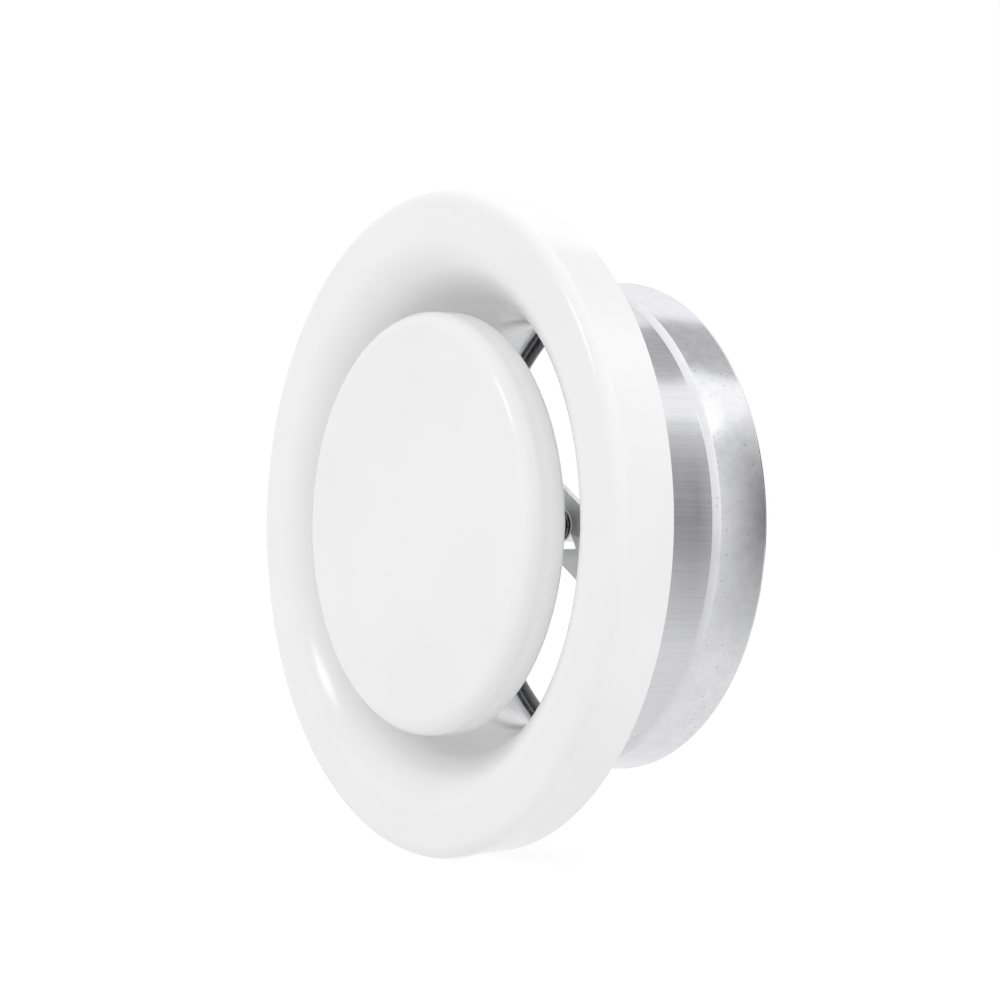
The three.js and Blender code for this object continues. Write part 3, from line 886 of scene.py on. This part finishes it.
def spring_clip(number, angle):
    hook = inside_collar("spring_clip_2")
    wall = hook - (COLLAR_REAR_RADIUS - COLLAR_FRONT_RADIUS)
    corners = [
        (foot_radius(FOOT_START), FOOT_START),
        (foot_radius(CLIP_BEND), CLIP_BEND),
        (wall - CLIP_SHEET - GAP, STEP_START - CLIP_HOOK),
        (hook - CLIP_SHEET, STEP_END + CLIP_HOOK),
        (hook - CLIP_TIP, STEP_END + CLIP_HOOK + CLIP_TIP),
    ]
    path = rounded(corners, CLIP_ROUND, steps=8)
    clip = strip(f"spring_clip_{number}_bent", path, CLIP_SHEET, CLIP_WIDTH)
    place(clip, about_axis(angle))
    finish_piece(clip, spring, "valve_body", "spring_steel", f"spring_clip_{number}")


def rivet(node, foot_sheet):
    """A rivet with two domed heads through the neck and what is riveted to it."""
    inner = -RING_SHEET - 3 * GAP
    outer = foot_sheet + GAP
    dome = 8  # steps over a head
    ball = (RIVET_HEAD_RADIUS**2 + RIVET_HEAD**2) / (2 * RIVET_HEAD)
    spread = math.degrees(math.asin(RIVET_HEAD_RADIUS / ball))
    outline = [
        *arc(0, inner - RIVET_HEAD + ball, ball, -90, -90 + spread, dome),
        (RIVET_RADIUS, inner),
        (RIVET_RADIUS, outer),
        *arc(0, outer + RIVET_HEAD - ball, ball, 90 - spread, 90, dome),
    ]
    made = lathe(node + "_domed", outline, 32)
    spot = middle(node)
    angle = math.atan2(spot.z, spot.x)
    centre = (outer + inner) / 2
    y = spot.y - centre * math.sin(foot_lean)
    upright = Matrix.Rotation(math.radians(-90), 4, "Z")
    lean = Matrix.Rotation(foot_lean, 4, "Z")
    out = Matrix.Translation((foot_radius(y), y, 0))
    place(made, about_axis(angle) @ out @ lean @ upright)
    finish_piece(made, zinc, "valve_body", "zinc_plated_steel", node)


# ------------------------------------------------------------------ the object

face_ring()
rim_gasket()
duct_collar()
collar_seal()
disc_shell()
disc_backplate()
spindle()
nut("hub_nut_front", "disc")
nut("hub_nut_rear", "disc")
nut("lock_nut", "lock_nut")
washer("hub_washer", "disc")
washer("stop_washer", "spindle_slider")
washer("lock_washer", "lock_slider")
thread_bush()
stop_pin()
bridge_strap()
for index, degrees in enumerate((60, 180, 300), start=1):
    spring_clip(index, math.radians(degrees))
    rivet(f"clip_rivet_{index}", CLIP_SHEET)
for index in range(1, 5):
    rivet(f"bridge_rivet_{index}", BRIDGE_SHEET)

# ------------------------------------------------------------------ stage, light and camera

FLOOR_SIZE = 12.0
FLOOR_GLOW = 0.78
KEY_SIDE = (0.45, 0.1, 0.89)  # where the studio is brightest
KEY_LIGHT = 1.4  # how bright it is there, against 1 elsewhere
CAMERA_PLACE = Vector((0.6566, -0.4245, 0.0006))
CAMERA_AZIMUTH = math.radians(56.65)
CAMERA_PITCH = math.radians(0.48)
CAMERA_ROLL = math.radians(0.73)
CAMERA_LENS = 95.9


def pale_floor():
    """A pale floor under the object that gives most of its brightness itself."""
    mesh = bpy.data.meshes.new("floor")
    bm = bmesh.new()
    bmesh.ops.create_grid(bm, x_segments=8, y_segments=8, size=FLOOR_SIZE / 2)
    bm.to_mesh(mesh)
    bm.free()
    floor = add_object("floor", mesh)
    floor.location.z = cad_bounds[0].z
    s = Surface("pale_floor", Roughness=0.8)
    s.set("Base Color", s.mix(s.noise(8, detail=3), grey(0.2), grey(0.22)))
    s.set("Emission Color", grey(1.0))
    s.set("Emission Strength", FLOOR_GLOW)
    mesh.materials.append(s.material)


def card(name, mesh, shade):
    """A studio card that shows in reflections only; shade(surface) gives its brightness."""
    made = add_object(name, mesh)
    made.visible_camera = False
    made.visible_diffuse = False
    made.visible_shadow = False
    s = Surface(name, Roughness=1.0)
    s.set("Base Color", grey(0.0))
    s.set("Specular IOR Level", 0.0)
    s.set("Emission Color", grey(1.0))
    s.set("Emission Strength", shade(s))
    mesh.materials.append(s.material)
    return made


def flat_mesh(name, size):
    """A rectangle in the XY plane."""
    mesh = bpy.data.meshes.new(name)
    bm = bmesh.new()
    bmesh.ops.create_grid(bm, x_segments=1, y_segments=1, size=0.5)
    bmesh.ops.scale(bm, vec=(size[0], size[1], 1.0), verts=bm.verts)
    bm.to_mesh(mesh)
    bm.free()
    return mesh


def facing_card(name, centre, size, shade):
    """A card that faces the object. Its own X points to the camera's side and its Y up."""
    made = card(name, flat_mesh(name, size), shade)
    made.location = centre
    made.rotation_mode = "QUATERNION"
    made.rotation_quaternion = (-Vector(centre)).to_track_quat("Z", "Y")
    return made


def dark_side(s):
    """Darkest in the middle, and as bright as the studio at the card's edges."""
    height = s.maths("ABSOLUTE", s.maths("SUBTRACT", s.along("Y"), 0.06))
    rise = s.maths("POWER", s.ramp(height, 0.0, 0.9), 1.3)
    near = s.remap(s.along("X"), -0.05, 0.24, 1.0, 0.0)
    far = s.ramp(s.along("X"), -0.7, -0.25)
    depth = s.both(near, far, s.maths("SUBTRACT", 1.0, rise))
    return s.maths("SUBTRACT", 1.0, s.maths("MULTIPLY", depth, 0.9))


def dark_floor(s):
    """The same dark side on the floor, fading towards the object and to both sides."""
    distance = s.length(s.stretch(1.0, 1.0, 0.0))
    depth = s.maths("SUBTRACT", 0.8, s.maths("DIVIDE", 0.1, distance))
    turn = s.maths("ARCTAN2", s.along("Y"), s.along("X"))
    near = s.ramp(turn, math.radians(24), math.radians(38))
    far = s.remap(turn, math.radians(50), math.radians(68), 1.0, 0.0)
    shown = s.both(near, far, s.maths("MAXIMUM", depth, 0.0))
    return s.maths("SUBTRACT", 1.0, shown)


def even(brightness):
    """The same brightness all over a card."""
    return lambda s: brightness


def area_light(name, centre, size, power):
    """A lamp that faces the object, with its power in watts."""
    data = bpy.data.lights.new(name, "AREA")
    data.shape = "RECTANGLE"
    data.size, data.size_y = size
    data.energy = power
    lamp = add_object(name, data)
    lamp.location = centre
    lamp.rotation_mode = "QUATERNION"
    lamp.rotation_quaternion = (-Vector(centre)).to_track_quat("-Z", "Y")


def white_world():
    """An evenly white studio, a little brighter towards the key side."""
    world = bpy.data.worlds.new("studio")
    bpy.context.scene.world = world
    world.use_nodes = True
    nodes, links = world.node_tree.nodes, world.node_tree.links
    towards_key = nodes.new("ShaderNodeVectorMath")
    towards_key.operation = "DOT_PRODUCT"
    towards_key.inputs[1].default_value = KEY_SIDE
    links.new(nodes.new("ShaderNodeTexCoord").outputs["Generated"], towards_key.inputs[0])
    strength = nodes.new("ShaderNodeMapRange")
    for index, value in ((1, 0.0), (2, 1.0), (3, 1.0), (4, KEY_LIGHT)):
        strength.inputs[index].default_value = value
    links.new(towards_key.outputs["Value"], strength.inputs[0])
    links.new(strength.outputs[0], nodes["Background"].inputs["Strength"])
    nodes["Background"].inputs["Color"].default_value = grey(1.0)


def camera():
    """The photograph's viewing angle."""
    data = bpy.data.cameras.new("camera")
    data.lens = CAMERA_LENS
    data.sensor_width = 36.0
    made = add_object("camera", data)
    made.location = CAMERA_PLACE
    forward = Vector(
        (
            -math.sin(CAMERA_AZIMUTH) * math.cos(CAMERA_PITCH),
            math.cos(CAMERA_AZIMUTH) * math.cos(CAMERA_PITCH),
            math.sin(CAMERA_PITCH),
        )
    )
    made.rotation_mode = "QUATERNION"
    made.rotation_quaternion = forward.to_track_quat("-Z", "Y") @ Quaternion((0, 0, 1), CAMERA_ROLL)
    bpy.context.scene.camera = made


pale_floor()
facing_card("dark_card", centre=(0.946, 0.739, 0.0), size=(1.5, 2.0), shade=dark_side)
facing_card("rear_card", centre=(0.1, 1.2, 0.0), size=(0.8, 0.9), shade=even(0.2))
facing_card("ceiling_card", centre=(0.0, 0.825, 1.245), size=(0.8, 0.5), shade=even(0.6))
floor_card = card("floor_card", flat_mesh("floor_card", (3.0, 3.0)), dark_floor)
floor_card.location.z = cad_bounds[0].z + MM  # just above the floor
area_light("softbox", centre=(-0.29, -1.28, 0.72), size=(0.3, 0.3), power=1.7)
area_light("rim_light", centre=(1.1, 0.636, 0.795), size=(0.3, 0.6), power=1.13)
white_world()
camera()
bpy.context.scene.view_settings.view_transform = "Standard"
